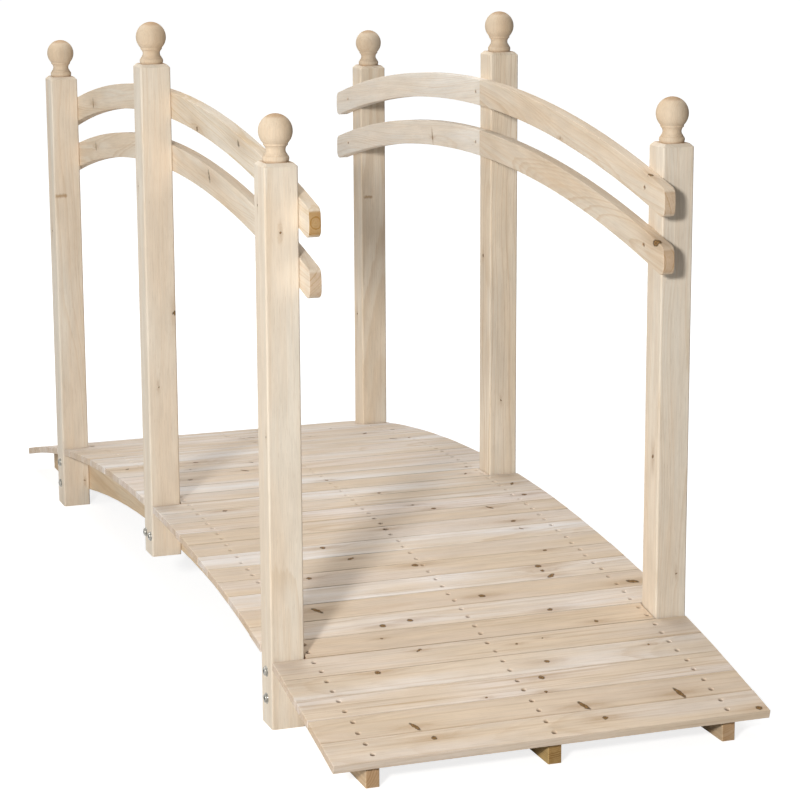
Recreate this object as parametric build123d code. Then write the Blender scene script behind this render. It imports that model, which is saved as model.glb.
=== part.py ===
from build123d import *
import math
import os

# Low arched garden footbridge in plain softwood.
# X runs across the bridge, Y along it, Z up from level ground. All lengths in millimetres.

# Square posts, all cut to one length
post_side = 50.0
post_length = 820.0
post_edge_round = 3.0
post_top_chamfer = 5.0
post_top_round = 1.5
middle_post_drop = 6.3

# Deck: flat planks laid side by side on a circular arc
deck_width = 656.0
deck_radius = 3900.0
deck_lip_height = 41.6
plank_spacing = 56.9
plank_gap = 0.9
plank_thickness = 12.0
plank_edge_round = 1.2
ramp_plank_count = 5
span_plank_count = 11
post_plank_count = 1
plank_notch_gap = 1.5
plank_seat_gap = 0.2

# Arched stringers under the planks, with flat feet on the ground
stringer_thickness = 20.0
stringer_depth = 70.0
stringer_setback = 12.0
stringer_edge_round = 1.5

# Hand rails, two on each side, each in two halves that meet at the middle post
rail_height = 43.0
rail_thickness = 18.0
rail_radius = 3055.0
upper_rail_drop = 45.5
rail_clear_gap = 42.0
rail_overhang = 42.0
rail_end_bulge = 2.5
rail_corner_round = 12.0
rail_edge_round = 1.2
rail_seam_gap = 0.6
rail_seam_inset = 5.0

# Turned ball finials on the post tops
ball_radius = 24.3
finial_height = 67.0
base_radius = 19.1
base_height = 9.0
base_foot_radius = 17.2
collar_radius = 16.6
collar_height = 10.6
neck_radius = 14.2
neck_level = 18.6
bead_radius = 16.8
bead_level = 24.0
bead_height = 4.2

# Derived places
pitch_angle = plank_spacing / deck_radius
post_step = span_plank_count + post_plank_count
post_y = deck_radius * math.sin(post_step * pitch_angle)
post_x = (deck_width - post_side) / 2
post_inner_x = deck_width / 2 - post_side
half_count = post_step + ramp_plank_count
end_angle = (half_count + post_plank_count / 2) * pitch_angle
arch_center_z = deck_lip_height - deck_radius * math.cos(end_angle)
stringer_top_radius = deck_radius - plank_thickness - plank_seat_gap
stringer_low_radius = stringer_top_radius - stringer_depth
deck_end_y = deck_radius * math.sin(end_angle)
stringer_end_y = deck_end_y - stringer_setback
rail_end_y = post_y + post_side / 2 + rail_overhang
rail_seam_y = rail_seam_inset - post_side / 2
middle_post_lift = arch_center_z + stringer_low_radius - middle_post_drop
upper_rail_crest = middle_post_lift + post_length - upper_rail_drop
lower_rail_crest = upper_rail_crest - rail_height - rail_clear_gap

ends = {"near": -1, "middle": 0, "far": 1}
sides = {"left": -1, "right": 1}
solids = {}


def arc_height(radius, center_z, y):
    """Height of a circle about the X axis at a place along the bridge."""
    return center_z + math.sqrt(radius**2 - y**2)


def make_plank(index, width):
    """One flat plank, seated on the arc at its own step from mid span."""
    board = Box(width, plank_spacing - plank_gap, plank_thickness)
    long_edges = board.edges().filter_by(Axis.X).group_by(Axis.Z)[-1]
    board = fillet(long_edges, plank_edge_round)
    turn = Rot(-math.degrees(index * pitch_angle), 0, 0)
    lift = Pos(0, 0, deck_radius - plank_thickness / 2)
    return Pos(0, 0, arch_center_z) * turn * lift * board


def make_planks(first, last, width):
    """A run of like planks from one step to another."""
    return Compound(children=[make_plank(i, width) for i in range(first, last + 1)])


def make_stringer(center_x):
    """Arched beam, concentric with the deck above its flat feet."""
    end_top = arc_height(stringer_top_radius, arch_center_z, stringer_end_y)
    crest_top = arch_center_z + stringer_top_radius
    crest_low = arch_center_z + stringer_low_radius
    heel_y = math.sqrt(stringer_low_radius**2 - arch_center_z**2)
    outline = [
        ThreePointArc((-stringer_end_y, end_top), (0, crest_top), (stringer_end_y, end_top)),
        Line((stringer_end_y, end_top), (stringer_end_y, 0)),
        Line((stringer_end_y, 0), (heel_y, 0)),
        ThreePointArc((heel_y, 0), (0, crest_low), (-heel_y, 0)),
        Line((-heel_y, 0), (-stringer_end_y, 0)),
        Line((-stringer_end_y, 0), (-stringer_end_y, end_top)),
    ]
    beam = extrude(Plane.YZ * make_face(outline), amount=stringer_thickness)
    low_arcs = beam.edges().filter_by(GeomType.CIRCLE).group_by(SortBy.RADIUS)[0]
    end_corners = beam.edges().filter_by(Axis.Z)
    beam = fillet(low_arcs + end_corners, stringer_edge_round)
    return Pos(center_x - stringer_thickness / 2, 0, 0) * beam


def make_post(x, y, bottom_z):
    """Square post with eased edges and a chamfered top."""
    shoulder_z = post_length - post_top_chamfer
    top_side = post_side - 2 * post_top_chamfer
    section = RectangleRounded(post_side, post_side, post_edge_round)
    top_section = RectangleRounded(top_side, top_side, post_top_round)
    shaft = extrude(section, amount=shoulder_z)
    crown = loft([Pos(0, 0, shoulder_z) * section, Pos(0, 0, post_length) * top_section], ruled=True)
    return Pos(x, y, bottom_z) * (shaft + crown)


def make_finial(x, y, base_z):
    """Turned finial: rounded base, cove neck, bead and ball."""
    ball_level = finial_height - ball_radius
    bead_top = bead_level + bead_height / 2
    bead_low = bead_level - bead_height / 2
    ball_foot = math.sqrt(ball_radius**2 - (ball_level - bead_top) ** 2)
    bead_root = (ball_foot + neck_radius) / 2
    profile = [
        Line((0, 0), (base_foot_radius, 0)),
        ThreePointArc((base_foot_radius, 0), (base_radius, base_height / 2), (base_foot_radius, base_height)),
        Line((base_foot_radius, base_height), (collar_radius, base_height)),
        Line((collar_radius, base_height), (collar_radius, collar_height)),
        ThreePointArc((collar_radius, collar_height), (neck_radius, neck_level), (bead_root, bead_low)),
        ThreePointArc((bead_root, bead_low), (bead_radius, bead_level), (ball_foot, bead_top)),
        ThreePointArc((ball_foot, bead_top), (ball_radius, ball_level), (0, finial_height)),
        Line((0, finial_height), (0, 0)),
    ]
    return Pos(x, y, base_z) * revolve(Plane.XZ * make_face(profile), Axis.Z)


def make_rail(side, end, crest_z):
    """Half of a curved hand rail, from the seam to its rounded end."""
    center_z = crest_z - rail_radius
    low_radius = rail_radius - rail_height
    start_y = rail_seam_gap / 2 + end * rail_seam_y
    middle_y = (start_y + rail_end_y) / 2
    seam_top = arc_height(rail_radius, center_z, start_y)
    seam_low = arc_height(low_radius, center_z, start_y)
    end_top = arc_height(rail_radius, center_z, rail_end_y)
    end_low = arc_height(low_radius, center_z, rail_end_y)
    bulge_point = (rail_end_y + rail_end_bulge, (end_top + end_low) / 2)
    outline = [
        ThreePointArc(
            (start_y, seam_top),
            (middle_y, arc_height(rail_radius, center_z, middle_y)),
            (rail_end_y, end_top),
        ),
        ThreePointArc((rail_end_y, end_top), bulge_point, (rail_end_y, end_low)),
        ThreePointArc(
            (rail_end_y, end_low),
            (middle_y, arc_height(low_radius, center_z, middle_y)),
            (start_y, seam_low),
        ),
        Line((start_y, seam_low), (start_y, seam_top)),
    ]
    face = make_face(outline)
    corners = face.vertices().sort_by(Axis.X)[-2:]
    face = fillet(corners, rail_corner_round)
    rail = extrude(Plane.YZ * face, amount=rail_thickness)
    outer_loops = rail.faces().filter_by(Axis.X).edges()
    seam_edges = rail.faces().sort_by(Axis.Y)[0].edges()
    eased = [edge for edge in outer_loops if not any(edge.is_same(other) for other in seam_edges)]
    rail = fillet(eased, rail_edge_round)
    rail = Pos(post_inner_x - rail_thickness, 0, 0) * rail
    if side < 0:
        rail = mirror(rail, Plane.YZ)
    if end < 0:
        rail = mirror(rail, Plane.XZ)
    return rail


# Planks, by where they lie along the bridge
short_width = 2 * (post_inner_x - plank_notch_gap)
for name, sign in (("near", -1), ("far", 1)):
    ramp_steps = sorted((sign * (post_step + post_plank_count), sign * half_count))
    span_steps = sorted((sign * post_plank_count, sign * span_plank_count))
    solids[f"{name}_ramp_planks"] = make_planks(*ramp_steps, deck_width)
    solids[f"{name}_span_planks"] = make_planks(*span_steps, deck_width)
for name, sign in ends.items():
    solids[f"{name}_post_plank"] = make_plank(sign * post_step, short_width)

# Stringers: the outer two lie against the inner faces of the posts
outer_stringer_x = post_inner_x - stringer_thickness / 2
for name, x in (("left", -outer_stringer_x), ("middle", 0), ("right", outer_stringer_x)):
    solids[f"stringer_{name}"] = make_stringer(x)

# Posts with their finials, and the rails on the posts' inner faces
for side, across in sides.items():
    for end, along in ends.items():
        bottom = 0 if along else middle_post_lift
        place = (across * post_x, along * post_y)
        solids[f"post_{side}_{end}"] = make_post(*place, bottom)
        solids[f"finial_{side}_{end}"] = make_finial(*place, bottom + post_length)
        if along:
            solids[f"rail_upper_{side}_{end}"] = make_rail(across, along, upper_rail_crest)
            solids[f"rail_lower_{side}_{end}"] = make_rail(across, along, lower_rail_crest)

os.makedirs("parts", exist_ok=True)
for name, solid in solids.items():
    export_step(solid, f"parts/{name}.step")
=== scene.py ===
"""Studio scene of a low arched garden footbridge in bare planed softwood.

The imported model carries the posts, finials, rails and stringers. The planks and rails are made
again here with their sunk fixing holes. Bolts, washers, nuts, nails, screws and the finials' bead
rings are added. Lengths are in metres: X across the bridge, Y along it, Z up from the ground.
Grain is in millimetres.
"""

import logging
import math
import random
from dataclasses import astuple, dataclass, field
from enum import Enum
from typing import ClassVar, NamedTuple

import bmesh
import bpy
from mathutils import Matrix, Vector

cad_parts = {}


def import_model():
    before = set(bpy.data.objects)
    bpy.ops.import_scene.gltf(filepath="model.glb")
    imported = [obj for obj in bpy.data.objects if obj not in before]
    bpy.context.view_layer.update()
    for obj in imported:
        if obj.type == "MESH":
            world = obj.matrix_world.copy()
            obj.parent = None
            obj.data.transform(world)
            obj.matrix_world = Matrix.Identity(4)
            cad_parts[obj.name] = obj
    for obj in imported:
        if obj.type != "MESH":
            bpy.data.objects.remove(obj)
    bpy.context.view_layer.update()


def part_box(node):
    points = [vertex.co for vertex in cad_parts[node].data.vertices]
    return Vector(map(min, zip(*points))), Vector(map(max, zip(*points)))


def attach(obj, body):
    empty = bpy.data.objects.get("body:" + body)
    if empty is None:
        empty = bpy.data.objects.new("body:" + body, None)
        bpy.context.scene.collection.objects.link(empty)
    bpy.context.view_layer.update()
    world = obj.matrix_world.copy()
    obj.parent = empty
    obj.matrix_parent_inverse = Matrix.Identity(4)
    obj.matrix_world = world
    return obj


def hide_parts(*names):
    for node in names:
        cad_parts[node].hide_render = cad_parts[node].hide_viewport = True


LOG = logging.getLogger("footbridge")
ROOT = "root"
MILLIMETRE = 0.001
WELD = 0.01 * MILLIMETRE
QUARTER_TURN = math.pi / 2
ACROSS = Vector((1, 0, 0))
ALONG = Vector((0, 1, 0))
UP = Vector((0, 0, 1))

Colour = tuple[float, float, float, float]
Socket = bpy.types.NodeSocket
Feed = Socket | Vector | float | tuple[float, ...]
Feeds = dict[str | int, Feed]

WHITE: Colour = (1.0, 1.0, 1.0, 1.0)

# The screen curve: a straight toe, then a power
FULL_LEVEL = 255
TOE_END = 0.04045
TOE_SLOPE = 12.92
CURVE_SHIFT = 0.055
CURVE_POWER = 2.4


def srgb(red: int, green: int, blue: int) -> Colour:
    """Turn a screen colour into the linear colour that shaders take.

    Args:
        red: Red from 0 to 255.
        green: Green from 0 to 255.
        blue: Blue from 0 to 255.

    Returns:
        The linear colour with full alpha.
    """

    def linear(level: int) -> float:
        """Undo the screen curve for one channel.

        Args:
            level: The channel from 0 to 255.

        Returns:
            Its linear share of full light.
        """
        share = level / FULL_LEVEL
        curved = ((share + CURVE_SHIFT) / (1 + CURVE_SHIFT)) ** CURVE_POWER
        return share / TOE_SLOPE if share <= TOE_END else curved

    return (linear(red), linear(green), linear(blue), 1.0)


class Slot(Enum):
    """Names of material slots."""

    DECK = "deck_wood"
    STRINGER = "stringer_wood"
    POST = "post_wood"
    FINIAL = "finial_wood"
    RAIL = "rail_wood"
    STEEL = "fixing_steel"


class Placing(Enum):
    """A choice among places, whose name is part of a node's name."""

    @property
    def label(self) -> str:
        """Give the word that node names use."""
        return self.name.lower()


class Side(Placing):
    """Sides of the bridge, as the sign of X."""

    LEFT = -1
    RIGHT = 1


class End(Placing):
    """Stations along the bridge, as the sign of Y."""

    NEAR = -1
    MIDDLE = 0
    FAR = 1


def stations(kind: str) -> list[tuple[str, Side, End]]:
    """List the nodes of one kind that stand at the posts.

    Args:
        kind: First words of the nodes' names.

    Returns:
        Each node's name, side and station.
    """
    return [(f"{kind}_{side.label}_{end.label}", side, end) for side in Side for end in End]


class Cut(Enum):
    """How a board was sawn from the log: the pith's place beside it, in millimetres."""

    FLAT = (6.0, -44.0)
    FLAT_OFF = (-24.0, -52.0)
    RIFT = (58.0, -52.0)
    QUARTER = (105.0, -16.0)
    QUARTER_OFF = (-98.0, 24.0)
    BOXED = (6.0, 1.0)


@dataclass(frozen=True)
class Knot:
    """A knot's place in its board and its radius, in millimetres.

    A lean makes it a slanted spike. A run makes it the soft brown stain of a branch that lies along
    the board's depth for that far to either side.
    """

    along: float
    across: float
    depth: float = 0.0
    radius: float = 3.5
    lean: float = 0.0
    run: float = 0.0


NO_KNOT = Knot(0.0, 0.0, radius=0.0)
KNOTS_PER_BOARD = 3
KNOT_NUMBERS = range(1, KNOTS_PER_BOARD + 1)


def padded(knots: tuple[Knot, ...]) -> tuple[Knot, ...]:
    """Fill a board's knots up with blanks, to the number that its grain takes."""
    return (knots + (NO_KNOT,) * KNOTS_PER_BOARD)[:KNOTS_PER_BOARD]


@dataclass(frozen=True)
class Ease:
    """A smooth change from one number to another over a range."""

    low: float
    high: float
    to_low: float = 0.0
    to_high: float = 1.0


@dataclass(frozen=True)
class Lumps:
    """Noise in a board: its lumps' length and width in millimetres, its shift and its layers."""

    along: float
    across: float
    shift: float
    detail: float = 2.0
    roughness: float = 0.5


class Graph:
    """Adds and links nodes in one shader tree."""

    # A mix node's sockets for colours
    MIX_COLOURS: ClassVar[tuple[int, int]] = (6, 7)
    MIX_RESULT: ClassVar[int] = 2

    def __init__(self, tree: bpy.types.NodeTree) -> None:
        """Keep the tree that the nodes go into."""
        self.tree = tree

    def add(self, kind: str, feeds: Feeds | None = None, **settings: object) -> bpy.types.Node:
        """Add a node.

        Args:
            kind: The node's type name.
            feeds: What goes into its inputs, by name or place.
            **settings: The node's own options.

        Returns:
            The new node.
        """
        node = self.tree.nodes.new(kind)
        for name, value in settings.items():
            setattr(node, name, value)
        for key, value in (feeds or {}).items():
            if isinstance(value, Socket):
                self.tree.links.new(value, node.inputs[key])
            else:
                node.inputs[key].default_value = value
        return node

    def output(self, shader: bpy.types.Node, kind: str = "ShaderNodeOutputMaterial") -> None:
        """Link a finished shader to the tree's output."""
        self.add(kind, {0: shader.outputs[0]})

    def math(self, operation: str, *values: Feed) -> Socket:
        """Combine numbers.

        Args:
            operation: Name of the sum.
            *values: Its terms.

        Returns:
            The result's socket.
        """
        return self.add("ShaderNodeMath", dict(enumerate(values)), operation=operation).outputs[0]

    def total(self, operation: str, *values: Feed) -> Socket:
        """Combine any count of numbers, one after another.

        Args:
            operation: Name of the sum.
            *values: Its terms.

        Returns:
            The result's socket.
        """
        result = values[0]
        for value in values[1:]:
            result = self.math(operation, result, value)
        return result

    def times(self, *values: Feed) -> Socket:
        """Multiply numbers."""
        return self.total("MULTIPLY", *values)

    def vector(self, operation: str, *values: Feed) -> Socket:
        """Combine vectors.

        Args:
            operation: Name of the vector sum.
            *values: Its terms.

        Returns:
            The result's socket: a number for a length or a dot product.
        """
        feeds: Feeds = dict(enumerate(values))
        if operation == "SCALE":
            feeds = {0: values[0], "Scale": values[1]}
        node = self.add("ShaderNodeVectorMath", feeds, operation=operation)
        return node.outputs["Value" if operation in ("LENGTH", "DOT_PRODUCT") else "Vector"]

    def ramp(self, value: Feed, ease: Ease) -> Socket:
        """Ease a number from one range into another.

        Args:
            value: The number.
            ease: The two ranges.

        Returns:
            The eased number's socket.
        """
        feeds: Feeds = dict(enumerate((value, *astuple(ease))))
        return self.add("ShaderNodeMapRange", feeds, interpolation_type="SMOOTHSTEP").outputs[0]

    def noise(self, place: Feed, detail: float = 2.0, roughness: float = 0.5) -> bpy.types.Node:
        """Add smooth noise.

        Args:
            place: Where to read it, one unit to a lump.
            detail: How many finer layers it has.
            roughness: How strong the finer layers are.

        Returns:
            The noise's node, with one number or three as a colour.
        """
        feeds: Feeds = {"Vector": place, "Scale": 1.0, "Detail": detail, "Roughness": roughness}
        return self.add("ShaderNodeTexNoise", feeds)

    def dice(self, number: Feed) -> bpy.types.Node:
        """Add a chance that depends on a number alone."""
        return self.add("ShaderNodeTexWhiteNoise", {"W": number}, noise_dimensions="1D")

    def blend(self, share: Feed, first: Feed, second: Feed, mode: str = "MIX") -> Socket:
        """Blend two colours.

        Args:
            share: How much of the second colour shows.
            first: The first colour.
            second: The second colour.
            mode: How they blend.

        Returns:
            The blended colour's socket.
        """
        feeds: Feeds = {0: share, **dict(zip(self.MIX_COLOURS, (first, second)))}
        node = self.add("ShaderNodeMix", feeds, data_type="RGBA", blend_type=mode)
        return node.outputs[self.MIX_RESULT]

    def split(self, vector: Feed) -> tuple[Socket, ...]:
        """Give the three numbers of a vector."""
        return tuple(self.add("ShaderNodeSeparateXYZ", {0: vector}).outputs)

    def join(self, x: Feed, y: Feed, z: Feed) -> Socket:
        """Make a vector of three numbers."""
        return self.add("ShaderNodeCombineXYZ", {0: x, 1: y, 2: z}).outputs[0]


def blank_material(name: str, shown: Colour) -> tuple[bpy.types.Material, Graph]:
    """Start an empty material.

    Args:
        name: The material's name.
        shown: Its plain colour in the viewport.

    Returns:
        The material and its nodes.
    """
    material = bpy.data.materials.new(name)
    material.use_nodes = True
    material.node_tree.nodes.clear()
    material.diffuse_color = shown
    return material, Graph(material.node_tree)


class KnotMasks(NamedTuple):
    """Masks of a knot's parts, and how many radii away it is."""

    heart: Socket
    bark: Socket
    flow: Socket
    stain: Socket
    reach: Socket


class GrainNodes:
    """The grain group's nodes while they are built, with noise that follows the board."""

    SEED_STEP: ClassVar[tuple[float, float, float]] = (317.7, 131.3, 53.9)

    def __init__(self, tree: bpy.types.NodeTree) -> None:
        """Start from the group's inputs, with the board in millimetres.

        Args:
            tree: The group's tree.
        """
        self.graph = Graph(tree)
        self.given = self.graph.add("NodeGroupInput").outputs
        self.board = self.graph.vector("SCALE", self.given["Board"], 1 / MILLIMETRE)
        self._shift = self.graph.vector("SCALE", self.SEED_STEP, self.given["Seed"])

    def _noise(self, lumps: Lumps) -> bpy.types.Node:
        """Add noise with lumps of a given length and width.

        Args:
            lumps: The noise.

        Returns:
            The noise's node.
        """
        shape = (1 / lumps.along, 1 / lumps.across, 1 / lumps.across)
        scaled = self.graph.vector("MULTIPLY", self.board, shape)
        shift = self.graph.vector("SCALE", self._shift, lumps.shift)
        place = self.graph.vector("ADD", scaled, shift)
        return self.graph.noise(place, lumps.detail, lumps.roughness)

    def read(self, lumps: Lumps) -> Socket:
        """Read one noise, from 0 to 1."""
        return self._noise(lumps).outputs[0]

    def drift(self, lumps: Lumps, reach: float) -> Socket:
        """Read three independent noises about zero.

        Args:
            lumps: The noise.
            reach: How far apart its ends are, in millimetres.

        Returns:
            The vector's socket.
        """
        centred = self.graph.vector("SUBTRACT", self._noise(lumps).outputs[1], (0.5, 0.5, 0.5))
        return self.graph.vector("SCALE", centred, reach)


@dataclass(frozen=True)
class SoftwoodGrain:
    """The shared node group that grows softwood: rings, fibres, knots and tone."""

    NAME: ClassVar[str] = "softwood_grain"
    VECTOR: ClassVar[str] = "NodeSocketVector"
    NUMBER: ClassVar[str] = "NodeSocketFloat"
    COLOUR: ClassVar[str] = "NodeSocketColor"

    # Ragged edges of the knots
    coarse_ragged: Lumps = Lumps(7.0, 5.0, 0.7, 1.0)
    coarse_ragged_reach: float = 4.2
    fine_ragged: Lumps = Lumps(3.0, 2.0, 0.9, 1.0)
    fine_ragged_reach: float = 2.4

    # A knot's shape, and how its parts fade over its radius
    least_radius: float = 0.001
    stain_from_run: float = 0.5
    lean_turn: float = 1.5
    lean_stretch: float = 2.2
    lean_squeeze: float = 0.35
    flow_squeeze: float = 0.22
    flow_fade: float = 0.30
    heart_edge: Ease = Ease(0.62, 1.12, 1.0, 0.0)
    bark_inside: Ease = Ease(0.50, 0.82)
    bark_outside: Ease = Ease(0.84, 1.22, 1.0, 0.0)
    stain_edge: Ease = Ease(0.15, 1.15, 1.0, 0.0)
    out_of_reach: float = 10.0

    # Growth rings about a wandering pith, pushed aside by the knots
    wander: Lumps = Lumps(520.0, 110.0, 1.3, 1.0)
    wander_reach: float = 40.0
    fret: Lumps = Lumps(90.0, 5.0, 2.9)
    fret_reach: float = 2.2
    flow_push: float = 6.0
    late_start: Ease = Ease(0.20, 0.86)
    late_stop: Ease = Ease(0.88, 1.0, 1.0, 0.0)
    late_by_year: Ease = Ease(0.1, 1.0, 0.05, 1.0)
    end_rings: float = 0.40

    # Fibres, resin ticks, brown streaks and slow changes of tone
    fibre: Lumps = Lumps(46.0, 0.9, 3.7, 2.0, 0.6)
    fibre_shade: Ease = Ease(0.25, 0.75, 0.93, 1.04)
    streak: Lumps = Lumps(280.0, 5.5, 4.1, 2.0, 0.55)
    streak_edge: Ease = Ease(0.50, 0.72)
    tick: Lumps = Lumps(14.0, 0.55, 5.3, 0.0)
    tick_edge: Ease = Ease(0.68, 0.80)
    tick_share: float = 0.16
    tick_depth: float = 0.5
    tone: Lumps = Lumps(340.0, 46.0, 6.1, 2.0, 0.55)
    tone_edge: Ease = Ease(0.34, 0.66)
    tone_share: float = 0.75
    cloud: Lumps = Lumps(85.0, 20.0, 7.7, 2.0, 0.6)
    cloud_shade: Ease = Ease(0.32, 0.68, 0.955, 1.025)

    # Colours of the knots
    flow_share: float = 0.36
    stain_share: float = 0.62
    heart_share: float = 0.90
    bark_share: float = 0.70
    core: Ease = Ease(0.18, 0.50, 0.45, 0.0)
    whorl_turns: float = 9.0
    whorl: Ease = Ease(-1.0, 1.0, 0.0, 0.40)
    crumbs: Lumps = Lumps(2.6, 2.0, 8.3, 2.0, 0.6)
    crumbs_edge: Ease = Ease(0.40, 0.62)
    crumbs_share: float = 0.50

    # Sawn ends and sheen
    end_dusk: float = 0.48
    fibre_rough: Ease = Ease(0.2, 0.8, 0.56, 0.72)
    end_rough: float = 0.12
    late_gloss: float = 0.07
    heart_gloss: float = 0.10

    def tree(self) -> bpy.types.NodeTree:
        """Give the group, built the first time it is asked for.

        Returns:
            The group's tree.
        """
        tree = bpy.data.node_groups.get(self.NAME)
        if tree is None:
            tree = bpy.data.node_groups.new(self.NAME, "ShaderNodeTree")
            self._sockets(tree.interface)
            self._grow(GrainNodes(tree))
        return tree

    def _sockets(self, interface: bpy.types.NodeTreeInterface) -> None:
        """Name what goes into the group and what comes out.

        Args:
            interface: The group's sockets.
        """
        strengths = [f"{what} Strength" for what in ("Ring", "Streak")]
        colours = [f"{what} Colour" for what in ("Early", "Late", "Warm", "Knot", "Bark")]
        taken = {
            self.VECTOR: ["Board", "Pith"],
            self.NUMBER: ["Seed", "Ring Width", *strengths, "Taper", "End Grain"],
            self.COLOUR: colours,
        }
        for number in KNOT_NUMBERS:
            taken[self.VECTOR].append(f"Knot {number} Place")
            taken[self.NUMBER] += [f"Knot {number} {part}" for part in ("Radius", "Lean", "Run")]
        for kind, names in taken.items():
            for name in names:
                interface.new_socket(name, in_out="INPUT", socket_type=kind)
        interface.new_socket("Colour", in_out="OUTPUT", socket_type=self.COLOUR)
        interface.new_socket("Roughness", in_out="OUTPUT", socket_type=self.NUMBER)
        interface.new_socket("Height", in_out="OUTPUT", socket_type=self.NUMBER)

    def _spindle(self, g: Graph, spot: tuple[Socket, ...], lean: Socket) -> Socket:
        """Measure the distance to a knot's centre, less along its slant.

        Args:
            g: The group's nodes.
            spot: Place about the knot's centre.
            lean: How far the knot slants.

        Returns:
            The distance's socket.
        """
        x, y, z = spot
        angle = g.times(lean, self.lean_turn)
        sine, cosine = g.math("SINE", angle), g.math("COSINE", angle)
        long = g.math("ADD", g.times(x, cosine), g.times(y, sine))
        wide = g.math("SUBTRACT", g.times(y, cosine), g.times(x, sine))
        slant = g.math("ABSOLUTE", lean)
        stretch = g.math("MULTIPLY_ADD", slant, self.lean_stretch, 1.0)
        squeeze = g.math("MULTIPLY_ADD", slant, self.lean_squeeze, 1.0)
        shape = g.join(g.math("DIVIDE", long, stretch), g.times(wide, squeeze), z)
        return g.vector("LENGTH", shape)

    def _knot(self, nodes: GrainNodes, number: int, ragged: Socket) -> KnotMasks:
        """Find how near each point is to one knot.

        Args:
            nodes: The group's nodes.
            number: Which knot.
            ragged: Place in the board, with a ragged wobble.

        Returns:
            The knot's masks and distance.
        """
        g, given = nodes.graph, nodes.given
        radius = g.math("MAXIMUM", given[f"Knot {number} Radius"], self.least_radius)
        lean, run = given[f"Knot {number} Lean"], given[f"Knot {number} Run"]
        x, y, z = g.split(g.vector("SUBTRACT", ragged, given[f"Knot {number} Place"]))
        z = g.math("MAXIMUM", g.math("SUBTRACT", g.math("ABSOLUTE", z), run), 0.0)
        reach = g.math("DIVIDE", self._spindle(g, (x, y, z), lean), radius)
        stream = g.vector("LENGTH", g.join(g.times(x, self.flow_squeeze), y, z))
        stream = g.math("POWER", g.math("DIVIDE", stream, radius), 2.0)
        halo = g.math("EXPONENT", g.times(stream, -self.flow_fade))
        ring = g.times(g.ramp(reach, self.bark_inside), g.ramp(reach, self.bark_outside))
        stained = g.math("GREATER_THAN", run, self.stain_from_run)
        sound = g.math("SUBTRACT", 1.0, stained)
        return KnotMasks(
            heart=g.times(sound, g.ramp(reach, self.heart_edge)),
            bark=g.times(sound, ring),
            flow=g.times(sound, halo),
            stain=g.times(stained, g.ramp(reach, self.stain_edge)),
            reach=g.math("MULTIPLY_ADD", stained, self.out_of_reach, reach),
        )

    def _knots(self, nodes: GrainNodes) -> KnotMasks:
        """Find how near each point is to any of the board's knots.

        Args:
            nodes: The group's nodes.

        Returns:
            The masks and distance of the nearest knot.
        """
        g = nodes.graph
        coarse = nodes.drift(self.coarse_ragged, self.coarse_ragged_reach)
        fine = nodes.drift(self.fine_ragged, self.fine_ragged_reach)
        ragged = g.vector("ADD", g.vector("ADD", nodes.board, coarse), fine)
        *masks, reaches = zip(*(self._knot(nodes, number, ragged) for number in KNOT_NUMBERS))
        return KnotMasks(
            *(g.total("MAXIMUM", *mask) for mask in masks), reach=g.total("MINIMUM", *reaches)
        )

    def _late_wood(self, nodes: GrainNodes, flow: Socket) -> Socket:
        """Mask the dark late wood of the growth rings.

        Args:
            nodes: The group's nodes.
            flow: Mask of the grain that flows around knots.

        Returns:
            The mask's socket.
        """
        g, given = nodes.graph, nodes.given
        wander = nodes.drift(self.wander, self.wander_reach)
        offset = g.vector("ADD", g.vector("SUBTRACT", nodes.board, given["Pith"]), wander)
        off_x, off_y, off_z = g.split(offset)
        pushed = g.total(
            "ADD",
            g.vector("LENGTH", g.join(0.0, off_y, off_z)),
            g.times(off_x, given["Taper"]),
            g.times(nodes.read(self.fret), self.fret_reach),
            g.times(flow, self.flow_push),
        )
        turns = g.math("DIVIDE", pushed, given["Ring Width"])
        step = g.math("FRACT", turns)
        year = g.math("ADD", g.math("FLOOR", turns), given["Seed"])
        strength = g.ramp(g.dice(year).outputs["Value"], self.late_by_year)
        return g.times(g.ramp(step, self.late_start), g.ramp(step, self.late_stop), strength)

    def _clear_colour(self, nodes: GrainNodes, late: Socket, fibre: Socket, tick: Socket) -> Socket:
        """Colour the wood as it is away from knots.

        Args:
            nodes: The group's nodes.
            late: Mask of the late wood.
            fibre: Noise of the fibres.
            tick: Mask of the resin ticks.

        Returns:
            The colour's socket.
        """
        g, given = nodes.graph, nodes.given
        late_colour = given["Late Colour"]
        tone = g.times(g.ramp(nodes.read(self.tone), self.tone_edge), self.tone_share)
        streak = g.ramp(nodes.read(self.streak), self.streak_edge)
        rings = g.math("MULTIPLY_ADD", given["End Grain"], self.end_rings, given["Ring Strength"])
        colour = g.blend(tone, given["Early Colour"], given["Warm Colour"])
        colour = g.blend(g.times(late, rings), colour, late_colour)
        colour = g.blend(g.times(streak, given["Streak Strength"]), colour, late_colour)
        colour = g.blend(g.times(tick, self.tick_share), colour, given["Knot Colour"])
        cloud = g.ramp(nodes.read(self.cloud), self.cloud_shade)
        shade = g.times(g.ramp(fibre, self.fibre_shade), cloud)
        return g.blend(1.0, colour, g.join(shade, shade, shade), "MULTIPLY")

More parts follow.
